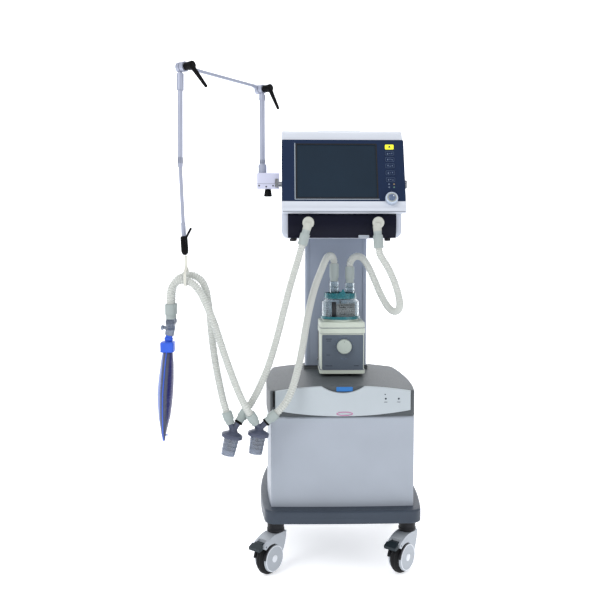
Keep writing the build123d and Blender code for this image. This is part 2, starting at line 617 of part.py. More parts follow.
# ================================================================ hose-support arm
rail_x = DISPLAY_X - DISPLAY_W / 2 - RAIL_GAP - RAIL_T / 2
knob_at = (-221.0, POST_Y)
with BuildPart() as block:
    with BuildSketch(Plane.XZ.offset(-POST_Y - 25)):
        with BuildLine():
            Polyline((-255, BLOCK_BOTTOM), (-185.5, BLOCK_BOTTOM), (-185.5, BLOCK_TOP),
                     (-255, BLOCK_TOP), close=True)
        make_face()
        with Locations((rail_x, RAIL_Z)):
            Rectangle(RAIL_T + 0.8, RAIL_H + 0.8, mode=Mode.SUBTRACT)
        with Locations((rail_x + 10, RAIL_Z)):
            Rectangle(20, RAIL_H - 8, mode=Mode.SUBTRACT)
    extrude(amount=50)
    chamfer(block.edges().filter_by(Axis.Z).group_by(Axis.X)[0], 3)
    rod((POST_X, POST_Y, 1168), (POST_X, POST_Y, BLOCK_TOP + 1), PIN_R + RUN_GAP, mode=Mode.SUBTRACT)
    rod((*knob_at, BLOCK_BOTTOM - 1), (*knob_at, 1172), PIVOT_R + RUN_GAP, mode=Mode.SUBTRACT)
save(block, "clamp_block")

with BuildPart() as clamp_knob:
    with BuildSketch(Plane.XY.offset(1128)):
        with Locations(knob_at):
            Circle(13)
    with BuildSketch(Plane.XY.offset(BLOCK_BOTTOM - 1)):
        with Locations(knob_at):
            Circle(9.5)
    loft()
    fillet(clamp_knob.edges().sort_by(Axis.Z)[0], 2)
    rod((*knob_at, 1140), (*knob_at, 1170), PIVOT_R)
save(clamp_knob, "clamp_knob")


def knuckle(centre, bored=True):
    """A disc of an elbow, square to the hinge line, with the pivot's hole."""
    half = HINGE_DIR * KNUCKLE_T / 2
    rod(centre - half, centre + half, KNUCKLE_R)
    if bored:
        rod(centre - half * 1.2, centre + half * 1.2, PIVOT_R + RUN_GAP, mode=Mode.SUBTRACT)


with BuildPart() as post:
    rod((POST_X, POST_Y, 1172), RIGHT_ELBOW - UP * 17, POST_R)
    rod((POST_X, POST_Y, BLOCK_TOP + 0.5), (POST_X, POST_Y, BLOCK_TOP + 28), 13)
    rod(RIGHT_ELBOW - UP * 34, RIGHT_ELBOW - UP * 17, 10)
    rod(RIGHT_ELBOW - UP * 18, RIGHT_ELBOW, BAR_R)
    knuckle(RIGHT_ELBOW)
save(post, "arm_post")

with BuildPart() as arm_rod:
    start = RIGHT_ELBOW - HINGE_DIR * KNUCKLE_STEP
    rod(start + UP * 8, ROD_END, 4.8)
    rod(start, start + ARM_DIR * 26 + UP * 8, BAR_R)
    rod(ROD_END, ROD_END - ARM_DIR * 24, BAR_R)
    knuckle(start)
    knuckle(ROD_END)
save(arm_rod, "arm_rod")

drop_dir = (DROP_SPLIT - LEFT_ELBOW).normalized()
thin_dir = (TIP_START - DROP_SPLIT).normalized()
thin_top = DROP_SPLIT - thin_dir * 25
with BuildPart() as drop_tube:
    rod(LEFT_ELBOW, LEFT_ELBOW + drop_dir * 20, BAR_R)
    rod(LEFT_ELBOW + drop_dir * 17, LEFT_ELBOW + drop_dir * 62, 10)
    rod(LEFT_ELBOW + drop_dir * 17, DROP_SPLIT, 6.8)
    knuckle(LEFT_ELBOW)
    rod(thin_top, DROP_SPLIT + thin_dir * 5, 5, mode=Mode.SUBTRACT)
save(drop_tube, "arm_drop_tube")


def lever(hinge, hub_from, swing, outward, name):
    """A clamping lever: conical hub, screw through the knuckles and a slanting handle."""
    hub = hinge + HINGE_DIR * hub_from
    hub_end = hub + HINGE_DIR * 30
    root = hub + HINGE_DIR * 22
    tip = root + HINGE_DIR * outward - ARM_DIR * swing - UP * (66**2 - outward**2 - swing**2) ** 0.5
    with BuildPart() as handle:
        with BuildSketch(Plane(origin=hub, z_dir=HINGE_DIR)):
            Circle(10)
        with BuildSketch(Plane(origin=hub_end, z_dir=HINGE_DIR)):
            Circle(13)
        loft()
        fillet(handle.edges().filter_by(GeomType.CIRCLE).sort_by(Axis(hub, HINGE_DIR))[-1], 5)
        with BuildSketch(Plane(origin=root, z_dir=tip - root)):
            Circle(7)
        with BuildSketch(Plane(origin=tip, z_dir=tip - root)):
            Circle(4.5)
        loft()
        with Locations(tip):
            Sphere(4.5)
        rod(hub + HINGE_DIR * 2, hub - HINGE_DIR * (KNUCKLE_STEP + KNUCKLE_T), PIVOT_R)
    save(handle, name)


lever(RIGHT_ELBOW, KNUCKLE_T / 2 + 0.6, 14, 22, "arm_lever_right")
lever(ROD_END, KNUCKLE_T / 2 + 0.6, 31, 24, "arm_lever_left")

tip_dir = (TIP_END - TIP_START).normalized()
lever_pivot = TIP_START + tip_dir * 16
with BuildPart() as arm_tip:
    rod(thin_top, TIP_START, 5)
    rod(DROP_SPLIT + (TIP_START - DROP_SPLIT) * 0.8, TIP_START, 6.5)
    rod(TIP_START, TIP_END - tip_dir * 9.5, 9.5)
    with Locations(TIP_END - tip_dir * 9.5):
        Sphere(9.5)
    rod(lever_pivot - Vector(0, 12, 0), lever_pivot + Vector(0, 12, 0), 2 + RUN_GAP, mode=Mode.SUBTRACT)
save(arm_tip, "arm_tip")

with BuildPart() as tip_lever:
    front = lever_pivot - Vector(0, 10.2, 0)
    rod(front, front - Vector(0, 7, 0), 6)
    rod(front - Vector(0, 3.5, 0), front - Vector(-20, 3.5, -38), 3.4)
    with Locations(front - Vector(-20, 3.5, -38)):
        Sphere(3.4)
    rod(front - Vector(0, 3, 0), lever_pivot + Vector(0, 9, 0), 2)
save(tip_lever, "arm_tip_lever")

# ================================================================ breathing circuit
for name, route in HOSES.items():
    points = [Vector(*p) for p in route]
    runs = [b - a for a, b in zip(points, points[1:])]
    radii = [0.45 * min(a.length, b.length) / tan(radians(a.get_angle(b)) / 2)
             for a, b in zip(runs, runs[1:])]
    with BuildPart() as hose:
        with BuildLine() as path:
            FilletPolyline(*points, radius=radii)
        line = path.wires()[0]
        with BuildSketch(Plane(origin=line @ 0, z_dir=line % 0)) as bore:
            Circle(HOSE_R)
        sweep()
    tube = bore.sketch.area * line.length
    print(name, "length", round(line.length), "radii", [round(r) for r in radii],
          "volume ratio", round(hose.part.volume / tube, 4))
    save(hose, name)

with BuildPart() as cuffs:
    for name in HOSES:
        for end in (0, -1):
            tip, out, far = hose_end(name, end)
            rod(tip, far - out * 12, CUFF_R, bore=9)
            rod(far - out * 12, far, 12, bore=9)
save(cuffs, "hose_cuffs")

cup_axes = {side: Vector(sin(radians(tilt)), 0, cos(radians(tilt))) for side, tilt in TRAP_TILT.items()}
with BuildPart() as trap_heads:
    for side, joint in TRAP_JOINTS.items():
        axis = cup_axes[side]
        rod(joint - axis * 21, joint - axis * 11, 29.5)
        rod(joint - axis * 12, joint, 13)
        with Locations(joint):
            Sphere(11)
        for hose, end in TRAP_LIMBS[side]:
            neck(hose, end, joint, 8.5)
save(trap_heads, "trap_heads")

for side, joint in TRAP_JOINTS.items():
    axis = cup_axes[side]
    rim = joint - axis * 21.4
    with BuildPart() as cup:
        with BuildSketch(Plane(origin=rim, z_dir=axis)):
            Circle(21.5)
        with BuildSketch(Plane(origin=rim - axis * 51, z_dir=axis)):
            Circle(19.5)
        loft()
        with BuildSketch(Plane(origin=rim, z_dir=axis)):
            Circle(19.3)
        with BuildSketch(Plane(origin=rim - axis * 48.5, z_dir=axis)):
            Circle(17.3)
        loft(mode=Mode.SUBTRACT)
    save(cup, f"trap_cup_{side}")

with BuildPart() as y_piece:
    for sign in (-1, 1):
        rod((LIMB_X, LIMB_Y + sign * LIMB_GAP, LIMB_Z), (LIMB_X, LIMB_Y + sign * LIMB_GAP, 755), 12)
    with BuildSketch(Plane.XY.offset(758)):
        with Locations((LIMB_X, LIMB_Y)):
            SlotCenterToCenter(2 * LIMB_GAP, 27, rotation=90)
    with BuildSketch(Plane.XY.offset(738)):
        with Locations((LIMB_X - 3, LIMB_Y)):
            Circle(14)
    loft()
    rod((LIMB_X - 3, LIMB_Y, 739), (LIMB_X - 6, LIMB_Y, 723), 13)
    rod((LIMB_X - 4, LIMB_Y, 742), (LIMB_X - 22, LIMB_Y, 745), 5)
save(y_piece, "y_piece")

with BuildPart() as lung_neck:
    with BuildSketch(Plane.XY.offset(676)):
        with Locations((LIMB_X - 11, LIMB_Y)):
            RectangleRounded(38, 46, 9)
    extrude(amount=29)
    fillet(lung_neck.edges().group_by(Axis.Z)[-1], 4)
    rod((LIMB_X - 10.3, LIMB_Y, 700), (LIMB_X - 6, LIMB_Y, 722.8), 10)
save(lung_neck, "lung_neck")

with BuildPart() as lung:
    for z, centre_x, wide, deep in ((676, -502, 28, 44), (640, -504, 36, 82), (560, -510, 43, 105),
                                    (490, -513, 32, 78), (440, -516, 13, 36), (420, -516, 6, 12)):
        with BuildSketch(Plane.XY.offset(z)):
            with Locations((centre_x, LIMB_Y)):
                Ellipse(wide / 2, deep / 2)
    loft()
save(lung, "test_lung")

# The strap's loop holds both limbs, and its tail ends just below the arm's end clamp.
STRAP_X, STRAP_W, STRAP_T = -447.5, 7.0, 1.6
STRAP_LOOP = ((-257, 882), (-257, 902), (-266, 911), (-286, 914), (-312, 906), (-322, 896),
              (-322, 872), (-314, 864), (-268, 868))
with BuildPart() as strap:
    with BuildSketch(Plane.YZ.offset(STRAP_X - STRAP_W / 2)):
        with BuildLine():
            loop = Polyline(*STRAP_LOOP, close=True)
            offset(loop, amount=STRAP_T)
        make_face()
        with BuildLine():
            Polyline(*STRAP_LOOP, close=True)
        make_face(mode=Mode.SUBTRACT)
        with Locations((-289.5, 930)):
            Rectangle(STRAP_T, 35)
    extrude(amount=STRAP_W)
save(strap, "hanger_strap")

# ================================================================ inner pieces and rear gas inlets
with BuildPart() as compressor:
    with BuildSketch(Plane.XY.offset(BASE_TOP + SHELL)):
        with Locations((0, 60)):
            RectangleRounded(240, 180, 12)
    extrude(amount=18)
    with BuildSketch(Plane.YZ.offset(-95)):
        with Locations((60, 300)):
            Circle(68)
    extrude(amount=190)
    with BuildSketch(Plane.XY.offset(340)):
        with Locations((-50, 60), (50, 60)):
            Circle(32)
    extrude(amount=95)
    with BuildSketch(Plane.XY.offset(BASE_TOP + 10)):
        with Locations((0, 60)):
            Rectangle(150, 100)
    extrude(amount=60)
save(compressor, "air_compressor")

with BuildPart() as battery:
    with BuildSketch(Plane.XY.offset(BASE_TOP + SHELL)):
        with Locations((0, -130)):
            RectangleRounded(260, 110, 5)
    extrude(amount=110)
save(battery, "battery_pack")

with BuildPart() as board:
    with BuildSketch(Plane.XZ.offset(-20)):
        with Locations((DISPLAY_X, 1170)):
            Rectangle(300, 130)
    extrude(amount=2)
    with BuildSketch(Plane.XZ.offset(-20)):
        with Locations((DISPLAY_X, 1170)):
            with GridLocations(90, 70, 3, 2):
                Rectangle(38, 28)
    extrude(amount=-6)
save(board, "main_board")

with BuildPart() as inlets:
    for x in (-60, 60):
        with BuildSketch(Plane.XZ.offset(-MODULE_BACK_Y)):
            with Locations((x, 1035)):
                RegularPolygon(14, 6)
        extrude(amount=-8)
        rod((x, MODULE_BACK_Y + 8, 1035), (x, MODULE_BACK_Y + 26, 1035), 8)
save(inlets, "gas_inlets")
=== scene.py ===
"""The looks of the ventilator: hoses at their real length, finishes and surface detail on the CAD frame."""
import json
import math

import bmesh
import bpy
from mathutils import Matrix, Vector


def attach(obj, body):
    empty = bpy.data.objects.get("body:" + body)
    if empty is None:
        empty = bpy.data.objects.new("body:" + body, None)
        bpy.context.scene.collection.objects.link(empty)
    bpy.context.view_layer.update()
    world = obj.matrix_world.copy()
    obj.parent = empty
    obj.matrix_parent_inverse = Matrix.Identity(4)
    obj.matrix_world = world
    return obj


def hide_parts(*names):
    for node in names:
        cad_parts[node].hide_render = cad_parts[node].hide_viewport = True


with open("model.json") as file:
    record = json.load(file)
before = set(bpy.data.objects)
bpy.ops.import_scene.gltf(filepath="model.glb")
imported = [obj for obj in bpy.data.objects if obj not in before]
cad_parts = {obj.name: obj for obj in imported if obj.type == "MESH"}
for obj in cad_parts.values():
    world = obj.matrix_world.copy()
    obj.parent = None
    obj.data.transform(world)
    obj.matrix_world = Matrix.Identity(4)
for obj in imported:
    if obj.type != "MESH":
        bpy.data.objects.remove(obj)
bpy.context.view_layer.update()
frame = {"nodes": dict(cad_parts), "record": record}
NODES = frame["nodes"]
MM = 0.001


# ---------------------------------------------------------------- camera and light
camera_data = bpy.data.cameras.new("camera")
camera_data.lens = 46.0
camera_data.sensor_width = 36.0
camera_data.clip_end = 60
camera = bpy.data.objects.new("camera", camera_data)
camera.location = (-0.180, -2.455, 0.977)
camera.rotation_euler = (math.radians(85.9), 0, math.radians(-1.4))
bpy.context.scene.collection.objects.link(camera)
bpy.context.scene.camera = camera


def area_light(name, place, target, size, power):
    data = bpy.data.lights.new(name, "AREA")
    data.shape = "DISK"
    data.size = size
    data.energy = power
    light = bpy.data.objects.new(name, data)
    light.location = place
    light.rotation_euler = (Vector(target) - Vector(place)).to_track_quat("-Z", "Y").to_euler()
    bpy.context.scene.collection.objects.link(light)


bpy.context.scene.view_settings.view_transform = "Standard"
area_light("key", (-2.6, -3.0, 3.2), (0, 0, 0.8), 2.4, 80)
area_light("fill", (3.0, -2.6, 1.6), (0, 0, 0.8), 2.6, 26)
area_light("top", (0.2, 0.6, 4.2), (0, 0, 0.7), 3.0, 26)
area_light("wall", (0, 1.4, 3.6), (0, 3.4, 1.2), 3.0, 36)
world = bpy.data.worlds.new("studio")
world.use_nodes = True
world.node_tree.nodes["Background"].inputs["Color"].default_value = (0.96, 0.97, 1.0, 1)
world.node_tree.nodes["Background"].inputs["Strength"].default_value = 0.62
bpy.context.scene.world = world


# ---------------------------------------------------------------- materials
def linear(r, g, b):
    """A colour given in the usual 0 to 255 steps, as the linear values that a shader takes."""
    out = []
    for c in (r, g, b):
        c = c / 255
        out.append(c / 12.92 if c <= 0.04045 else ((c + 0.055) / 1.055) ** 2.4)
    return out


def surface(name, colour, rough=0.45, metal=0.0, grain=260.0, bump=0.02, spread=0.05, stretch=(1, 1, 1),
            coat=0.0, clear=0.0, sheen=0.0, glow=0.0, ior=1.45, wear=9.0, gloss=0.5):
    """A shader with fine grain, slow patches of tone and uneven polish, all in object coordinates."""
    material = bpy.data.materials.new(name)
    material.use_nodes = True
    tree = material.node_tree
    shader = tree.nodes["Principled BSDF"]
    link = tree.links.new
    place = tree.nodes.new("ShaderNodeTexCoord")
    mapping = tree.nodes.new("ShaderNodeMapping")
    mapping.inputs["Scale"].default_value = stretch
    link(place.outputs["Object"], mapping.inputs["Vector"])
    fine = tree.nodes.new("ShaderNodeTexNoise")
    fine.inputs["Scale"].default_value = grain
    fine.inputs["Detail"].default_value = 4
    link(mapping.outputs["Vector"], fine.inputs["Vector"])
    slow = tree.nodes.new("ShaderNodeTexNoise")
    slow.inputs["Scale"].default_value = wear
    slow.inputs["Detail"].default_value = 3
    link(place.outputs["Object"], slow.inputs["Vector"])
    tone = tree.nodes.new("ShaderNodeValToRGB")
    low = [c * (1 - spread) for c in linear(*colour)]
    high = [min(1, c * (1 + spread)) for c in linear(*colour)]
    tone.color_ramp.elements[0].position = 0.3
    tone.color_ramp.elements[0].color = (*low, 1)
    tone.color_ramp.elements[1].position = 0.7
    tone.color_ramp.elements[1].color = (*high, 1)
    link(slow.outputs["Fac"], tone.inputs["Fac"])
    link(tone.outputs["Color"], shader.inputs["Base Color"])
    polish = tree.nodes.new("ShaderNodeMapRange")
    polish.inputs["From Min"].default_value = 0.3
    polish.inputs["From Max"].default_value = 0.7
    polish.inputs["To Min"].default_value = max(0.02, rough - 0.06)
    polish.inputs["To Max"].default_value = min(1, rough + 0.06)
    link(fine.outputs["Fac"], polish.inputs["Value"])
    link(polish.outputs["Result"], shader.inputs["Roughness"])
    relief = tree.nodes.new("ShaderNodeBump")
    relief.inputs["Strength"].default_value = bump
    relief.inputs["Distance"].default_value = 0.0006
    link(fine.outputs["Fac"], relief.inputs["Height"])
    link(relief.outputs["Normal"], shader.inputs["Normal"])
    shader.inputs["Metallic"].default_value = metal
    shader.inputs["Coat Weight"].default_value = coat
    shader.inputs["Coat Roughness"].default_value = 0.12
    shader.inputs["Transmission Weight"].default_value = clear
    shader.inputs["Sheen Weight"].default_value = sheen
    shader.inputs["IOR"].default_value = ior
    shader.inputs["Specular IOR Level"].default_value = gloss
    if glow:
        link(tone.outputs["Color"], shader.inputs["Emission Color"])
        shader.inputs["Emission Strength"].default_value = glow
    return material


M = {
    "base_grey": surface("base moulding", (52, 61, 73), 0.42, bump=0.05, gloss=0.35),
    "cabinet_grey": surface("cabinet paint", (156, 163, 173), 0.42, bump=0.03, spread=0.03, gloss=0.4),
    "cover_grey": surface("cover moulding", (80, 85, 88), 0.5, bump=0.08, spread=0.04, gloss=0.35),
    "fascia_white": surface("fascia moulding", (173, 181, 186), 0.42, bump=0.03, spread=0.02, gloss=0.4),
    "caster_hood": surface("caster hood", (170, 176, 183), 0.4, bump=0.05, spread=0.03),
    "tyre_black": surface("tyre rubber", (18, 19, 21), 0.72, bump=0.15, spread=0.12, gloss=0.25),
    "pedal_grey": surface("brake pedal", (34, 44, 50), 0.5, bump=0.1, gloss=0.3),
    "socket_black": surface("caster socket", (18, 19, 24), 0.45, bump=0.08, gloss=0.3),
    "column_paint": surface("column paint", (141, 150, 166), 0.4, metal=0.1, bump=0.03, spread=0.03),
    "module_shell_grey": surface("module shell", (178, 184, 196), 0.42, bump=0.04, spread=0.03),
    "module_dark": surface("module front", (10, 12, 28), 0.4, bump=0.03, gloss=0.15),
    "port_grey": surface("port moulding", (178, 180, 172), 0.45, bump=0.05),
    "casing_white": surface("casing paint", (200, 205, 214), 0.42, bump=0.03, spread=0.02, gloss=0.4),
    "bezel_dark": surface("bezel moulding", (26, 40, 66), 0.5, bump=0.06, spread=0.04, gloss=0.15),
    "screen_glass": surface("screen glass", (22, 38, 52), 0.12, bump=0.0, spread=0.05, gloss=0.35),
    "key_yellow": surface("lit key", (228, 230, 50), 0.35, glow=0.35, spread=0.06),
    "encoder_blue": surface("encoder moulding", (176, 188, 204), 0.4, bump=0.05),
    "rail_metal": surface("rail steel", (150, 152, 156), 0.3, metal=1.0, stretch=(1, 0.04, 1), bump=0.06),
    "humidifier_cream": surface("humidifier casing", (196, 204, 192), 0.44, bump=0.06, spread=0.03),
    "humidifier_panel_grey": surface("humidifier overlay", (84, 95, 108), 0.5, bump=0.04),
    "dial_grey": surface("dial moulding", (177, 187, 179), 0.4, bump=0.05),
    "bracket_metal": surface("bracket paint", (92, 94, 98), 0.4, metal=0.4, bump=0.06),
    "chamber_clear": surface("chamber plastic", (232, 242, 244), 0.06, clear=0.96, bump=0.01, spread=0.01),
    "collar_teal": surface("teal collar", (22, 112, 122), 0.25, clear=0.25, coat=0.3, spread=0.08),
    "block_white": surface("clamp moulding", (204, 206, 226), 0.4, bump=0.04),
    "knob_black": surface("black lever moulding", (6, 6, 8), 0.5, bump=0.1, gloss=0.12),
    "arm_tube": surface("arm tube", (160, 165, 182), 0.38, metal=0.3, stretch=(1, 1, 0.05), bump=0.05),
    "tip_lever_metal": surface("end clamp lever", (6, 6, 8), 0.5, bump=0.1, gloss=0.12),
    "hose_white": surface("hose film", (197, 200, 195), 0.38, clear=0.06, bump=0.02, spread=0.03),
    "cuff_grey": surface("soft cuff", (162, 172, 170), 0.5, clear=0.12, bump=0.06),
    "trap_head_slate": surface("trap head", (74, 80, 100), 0.36, clear=0.1, bump=0.03),
    "trap_cup_smoke": surface("trap cup", (168, 176, 190), 0.14, clear=0.75, bump=0.01),
    "connector_clear": surface("clear connector", (128, 138, 156), 0.14, clear=0.6, bump=0.01),
    "lung_block_blue": surface("blue connector", (44, 90, 205), 0.4, bump=0.05),
    "strap_white": surface("woven tape", (206, 206, 196), 0.85, sheen=0.4, stretch=(3, 3, 1), bump=0.4),
    "inner_metal": surface("cast housing", (160, 162, 166), 0.4, metal=0.8, bump=0.1),
    "inner_black": surface("battery case", (38, 38, 40), 0.5, bump=0.05),
    "board_green": surface("circuit board", (24, 78, 44), 0.4, bump=0.05),
    "inlet_brass": surface("inlet brass", (186, 152, 92), 0.25, metal=1.0, bump=0.03),
    "key_rim": surface("key outline", (72, 88, 114), 0.5, bump=0.0),
    "encoder_cap": surface("encoder cap", (84, 100, 126), 0.28, coat=0.4, bump=0.01),
    "seam_grey": surface("seam", (112, 118, 130), 0.6, bump=0.0),
    "pad_green": surface("handle pad", (216, 224, 214), 0.42, bump=0.03),
    "module_panel": surface("module panel", (16, 18, 38), 0.34, bump=0.02, gloss=0.25),
    "port_shade": surface("port recess", (150, 154, 148), 0.5, bump=0.03),
    "print_black": surface("printed ink", (28, 32, 36), 0.5, bump=0.0),
    "print_smoke": surface("printed tint", (150, 158, 160), 0.3, clear=0.6, bump=0.0),
    "steel_dark": surface("steel band", (140, 145, 160), 0.34, metal=0.6, bump=0.03),
    "pale_hub": surface("hub plastic", (224, 228, 234), 0.36, bump=0.03),
    "dark_gap": surface("shadow gap", (14, 15, 18), 0.7, bump=0.02),
    "pale_print": surface("pale print", (100, 114, 138), 0.5, bump=0.0),
    "dark_print": surface("dark print", (48, 56, 66), 0.5, bump=0.0),
    # Pale colour for the painted highlight along the screen's bevel edges.
    "light_edge": surface("bevel edge highlight", (150, 160, 170), 0.3, bump=0.01),
    "green_lamp": surface("green lamp", (84, 120, 104), 0.3, coat=0.3),
    "amber_lamp": surface("amber lamp", (140, 120, 88), 0.3, coat=0.3),
    "blue_plate": surface("blue plate", (38, 110, 180), 0.35, coat=0.2, bump=0.01),
    "rose_plate": surface("rose rim", (176, 84, 140), 0.4, coat=0.1, bump=0.01),
    "screw_steel": surface("screw steel", (150, 153, 158), 0.28, metal=1.0, bump=0.05),
    "water": surface("water", (214, 232, 238), 0.02, clear=0.95, ior=1.33, bump=0.0),
    "heater": surface("heater plate", (176, 178, 180), 0.28, metal=1.0, bump=0.04),
}


def painted_light_bands(name, low_x, high_x, bands):
    """The bag's colour across its width, over fine grain: the light band on the left is painted highlight,
    the dark bands on the right are painted shade, and the grey band lies between.
    """
    material = surface(name, (90, 100, 150), 0.42, bump=0.12, coat=0.1)
    tree = material.node_tree
    link = tree.links.new
    place = tree.nodes.new("ShaderNodeTexCoord")
    split = tree.nodes.new("ShaderNodeSeparateXYZ")
    link(place.outputs["Object"], split.inputs["Vector"])
    tilt = tree.nodes.new("ShaderNodeMath")
    tilt.operation = "MULTIPLY_ADD"
    tilt.inputs[1].default_value = -0.055
    link(split.outputs["Z"], tilt.inputs[0])
    link(split.outputs["X"], tilt.inputs[2])
    span = tree.nodes.new("ShaderNodeMapRange")
    span.inputs["From Min"].default_value = low_x
    span.inputs["From Max"].default_value = high_x
    link(tilt.outputs["Value"], span.inputs["Value"])
    ramp = tree.nodes.new("ShaderNodeValToRGB")
    while len(ramp.color_ramp.elements) < len(bands):
        ramp.color_ramp.elements.new(0.5)
    for stop, (at, colour) in zip(ramp.color_ramp.elements, bands):
        stop.position = at
        stop.color = (*linear(*colour), 1)
    link(span.outputs["Result"], ramp.inputs["Fac"])
    link(ramp.outputs["Color"], tree.nodes["Principled BSDF"].inputs["Base Color"])
    return material


# The bag's light left side is painted highlight, and its dark right side is painted shade.
M["lung_bag"] = painted_light_bands("lung silicone with painted light", -0.563, -0.519, ((0.0, (44, 60, 160)), (0.08, (128, 148, 205)),
                                                         (0.3, (118, 132, 185)),
                       (0.38, (74, 78, 96)), (0.72, (66, 70, 92)), (0.8, (20, 20, 98)), (1.0, (16, 16, 92))))
for part in frame["record"]["subparts"]:
    if part["material_slot"] in M:
        mesh = NODES[part["node"]].data
        mesh.materials.clear()
        mesh.materials.append(M[part["material_slot"]])


# ---------------------------------------------------------------- helpers for new pieces
def keep(obj, material, body, bevel=0.0):
    """Gives a new piece its finish, its rounded edges and the body it moves with."""
    obj.data.materials.append(M[material])
    for face in obj.data.polygons:
        face.use_smooth = True
    if bevel:
        edge = obj.modifiers.new("edges", "BEVEL")
        edge.width = bevel
        edge.segments = 3
        edge.limit_method = "ANGLE"
        edge.angle_limit = math.radians(40)
        obj.modifiers.new("shading", "WEIGHTED_NORMAL")
    bpy.context.scene.collection.objects.link(obj)
    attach(obj, body)
    return obj


def axes_at(origin, x_dir, z_dir):
    """A matrix that places a drawing at a point, its X and Z along two directions."""
    z = Vector(z_dir).normalized()
    x = (Vector(x_dir) - z * z.dot(Vector(x_dir))).normalized()
    y = z.cross(x)
    turn = Matrix((x, y, z)).transposed().to_4x4()
    return Matrix.Translation(Vector(origin) * MM) @ turn


def rounded(width, height, radius, steps=5, centre=(0, 0)):
    """Corner points of a rounded rectangle, in mm."""
    points = []
    for cx, cy, start in ((1, 1, 0), (-1, 1, 90), (-1, -1, 180), (1, -1, 270)):
        for i in range(steps + 1):
            a = math.radians(start + 90 * i / steps)
            points.append((centre[0] + cx * (width / 2 - radius) + radius * math.cos(a),
                           centre[1] + cy * (height / 2 - radius) + radius * math.sin(a)))
    return points


def plate(name, outline, place, low, high, material, body="machine", bevel=0.4,
          hole=None):
    """A flat piece with a drawn outline, in mm, between two heights along the drawing's Z."""
    mesh = bpy.data.meshes.new(name)
    work = bmesh.new()
    rings = []
    for points in (outline, hole) if hole else (outline,):
        rings.append([[work.verts.new((x * MM, y * MM, h * MM)) for x, y in points] for h in (low, high)])
    for bottom, top in rings:
        for i in range(len(bottom)):
            j = (i + 1) % len(bottom)
            work.faces.new((bottom[i], bottom[j], top[j], top[i]))
    if hole:
        (b0, t0), (b1, t1) = rings
        n = len(b0)
        for i in range(n):
            j = (i + 1) % n
            work.faces.new((t0[i], t0[j], t1[j], t1[i]))
            work.faces.new((b0[j], b0[i], b1[i], b1[j]))
    else:
        work.faces.new(rings[0][1])
        work.faces.new(reversed(rings[0][0]))
    bmesh.ops.recalc_face_normals(work, faces=work.faces)
    work.to_mesh(mesh)
    work.free()
    mesh.transform(place)
    return keep(bpy.data.objects.new(name, mesh), material, body, bevel * MM)


def skin(name, rings, merge=False):
    """A closed mesh over rings of points, in metres, capped at both ends."""
    mesh = bpy.data.meshes.new(name)
    work = bmesh.new()
    rows = [[work.verts.new(point) for point in ring] for ring in rings]
    for a, b in zip(rows, rows[1:]):
        for i in range(len(a)):
            j = (i + 1) % len(a)
            work.faces.new((a[i], a[j], b[j], b[i]))
    work.faces.new(rows[0])
    work.faces.new(rows[-1])
    if merge:
        bmesh.ops.remove_doubles(work, verts=work.verts, dist=1e-7)
    bmesh.ops.recalc_face_normals(work, faces=work.faces)
    work.to_mesh(mesh)
    work.free()
    return mesh


def turned(name, profile, place, material, body="machine", steps=40, flutes=0,
           depth=0.0):
    """A piece turned about the drawing's Z from (radius, height) points in mm, with optional flutes."""
    rings = []
    for r, h in profile:
        ring = []
        for i in range(steps):
            a = math.tau * i / steps
            q = r - depth * (0.5 + 0.5 * math.cos(flutes * a)) if flutes and r > depth * 2 else r
            ring.append((q * math.cos(a) * MM, q * math.sin(a) * MM, h * MM))
        rings.append(ring)
    mesh = skin(name, rings, merge=True)
    mesh.transform(place)
    obj = keep(bpy.data.objects.new(name, mesh), material, body)
    crease = obj.modifiers.new("creases", "EDGE_SPLIT")
    crease.split_angle = math.radians(35)
    return obj


def screw(name, point, z_dir, radius=3.4, body="machine"):
    """A pan-head screw with a cross recess drawn as two dark bars."""
    place = axes_at(point, (1, 0, 0) if abs(z_dir[0]) < 0.8 else (0, 1, 0), z_dir)
    turned(name, [(radius, -0.4), (radius, 0.7), (radius * 0.8, 1.3), (radius * 0.4, 1.6), (0.01, 1.65)],
           place, "screw_steel", body, 24)
    for k, (w, h) in enumerate(((radius * 1.1, radius * 0.28), (radius * 0.28, radius * 1.1))):
        plate(f"{name}_slot_{k}", rounded(w, h, radius * 0.1, 2), place, 1.3, 1.72, "dark_gap", body, 0)


